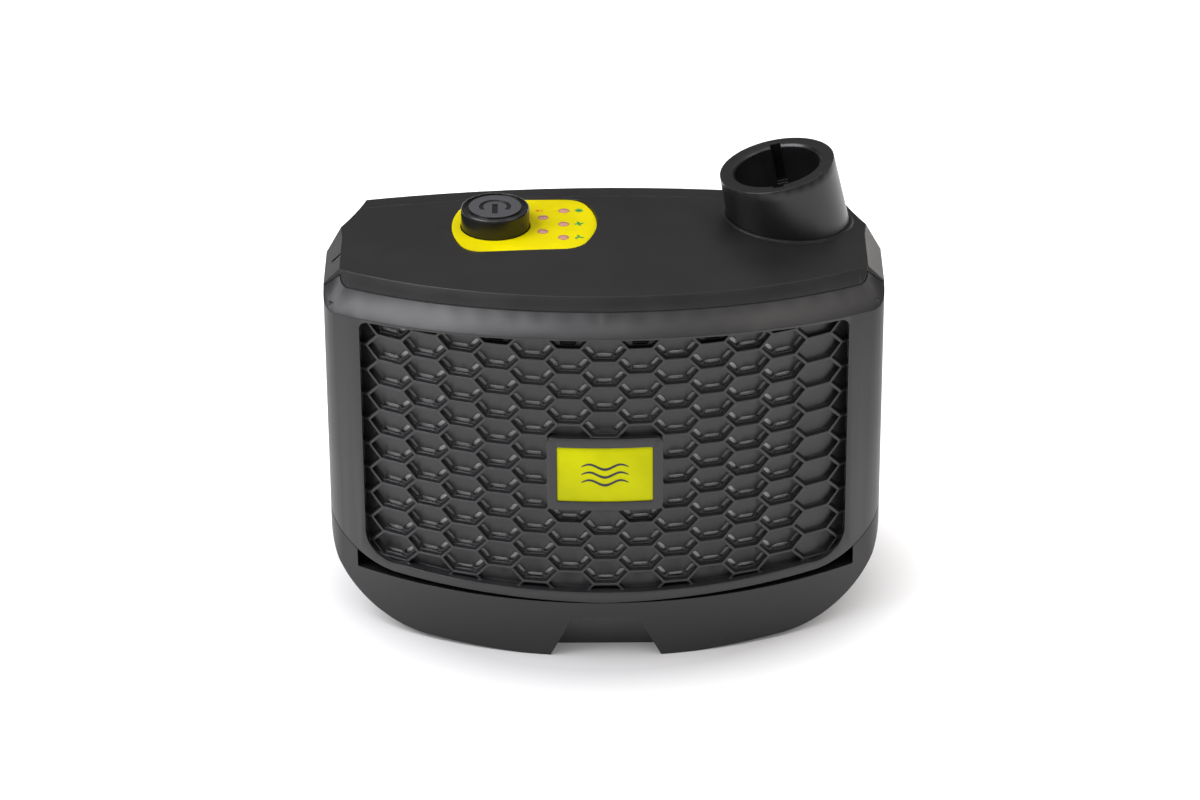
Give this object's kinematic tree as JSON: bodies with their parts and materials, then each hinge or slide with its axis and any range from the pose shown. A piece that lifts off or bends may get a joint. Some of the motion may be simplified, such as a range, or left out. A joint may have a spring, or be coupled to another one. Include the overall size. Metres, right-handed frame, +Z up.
{
  "type": "portable filtered air blower unit",
  "caption": "Belt-worn box that draws fumes or dusty air through a honeycomb-covered filter and blows it out of an angled hose socket, with keypad and removable battery.",
  "frame": {"origin": "centre of the bounding box's underside, on the resting plane", "axes": "+X to the right of a person facing the filter cover, +Y from the filter cover towards the belt hooks, +Z up"},
  "size_m": [0.224, 0.12, 0.1861],
  "materials": {
    "casing_black": "matte, lightly textured",
    "cover_black": "satin",
    "socket_black": "satin",
    "signal_yellow": "satin",
    "lens_pink": "gloss",
    "button_black": "satin",
    "latch_grey": "satin",
    "duct_grey": "matte",
    "impeller_white": "satin",
    "seal_rubber": "matte",
    "cable_red": "satin",
    "filter_white": "matte",
    "prefilter_grey": "matte",
    "frame_grey": "matte",
    "steel": "satin",
    "steel_dark": "satin",
    "iron": "matte",
    "can_aluminium": "satin",
    "contact_brass": "bright",
    "cell_sleeve": "gloss",
    "board_green": "satin",
    "chip_black": "satin"
  },
  "bodies": {
    "housing": {"main_casing": "casing_black", "rear_cover": "casing_black", "rear_screws": "steel_dark", "belt_hook_left": "steel_dark", "belt_hook_right": "steel_dark", "hook_screws": "steel_dark", "hose_socket": "socket_black", "socket_seal": "seal_rubber", "outlet_duct": "duct_grey", "inner_partition": "duct_grey", "keypad_panel": "signal_yellow", "led_lenses": "lens_pink", "button_spring": "steel", "power_switch": "chip_black", "control_board": "board_green", "board_components": "chip_black", "board_screws": "steel", "alarm_buzzer": "chip_black", "fan_inlet_plate": "duct_grey", "fan_scroll": "duct_grey", "fan_screws": "steel", "motor_bearings": "steel", "motor_damper": "seal_rubber", "motor_can": "can_aluminium", "motor_end_cap": "can_aluminium", "stator": "iron", "battery_socket": "chip_black", "contact_blades": "contact_brass", "motor_lead": "cable_red", "battery_lead": "seal_rubber"},
    "filter_cover": {"filter_cover": "cover_black", "badge_plate": "signal_yellow", "spark_arrestor": "steel", "prefilter": "prefilter_grey", "filter_frame": "frame_grey", "filter_media": "filter_white", "filter_gasket": "seal_rubber"},
    "power_button": {"power_button": "button_black"},
    "impeller": {"impeller": "impeller_white", "motor_shaft": "steel", "rotor_magnet": "iron"},
    "battery": {"battery_case": "casing_black", "battery_lid": "casing_black", "battery_cells": "cell_sleeve", "cell_links": "steel", "battery_contacts": "contact_brass"},
    "battery_latch": {"battery_latch": "latch_grey"},
    "cover_latch": {"cover_latch": "latch_grey"}
  },
  "joints": [
    {"name": "cover_lift_off", "type": "slide", "parent": "housing", "child": "filter_cover", "axis": [0, -1, 0], "range_m": [0, 0.08]},
    {"name": "power_press", "type": "slide", "parent": "housing", "child": "power_button", "axis": [0, -0.0349, -0.9994], "range_m": [0, 0.0015], "stiffness_N_per_m": 400, "springref_m": -0.002, "deforming": ["button_spring"]},
    {"name": "impeller_spin", "type": "hinge", "parent": "housing", "child": "impeller", "pos_m": [0.028, 0.015, 0.0975], "axis": [0, -1, 0], "continuous": true},
    {"name": "battery_slide", "type": "slide", "parent": "housing", "child": "battery", "axis": [0, 0, -1], "range_m": [0, 0.06]},
    {"name": "battery_latch_slide", "type": "slide", "parent": "housing", "child": "battery_latch", "axis": [0, -1, 0], "range_m": [0, 0.003], "stiffness_N_per_m": 500},
    {"name": "cover_latch_slide", "type": "slide", "parent": "housing", "child": "cover_latch", "axis": [0, 1, 0], "range_m": [0, 0.0025], "stiffness_N_per_m": 500}
  ]
}
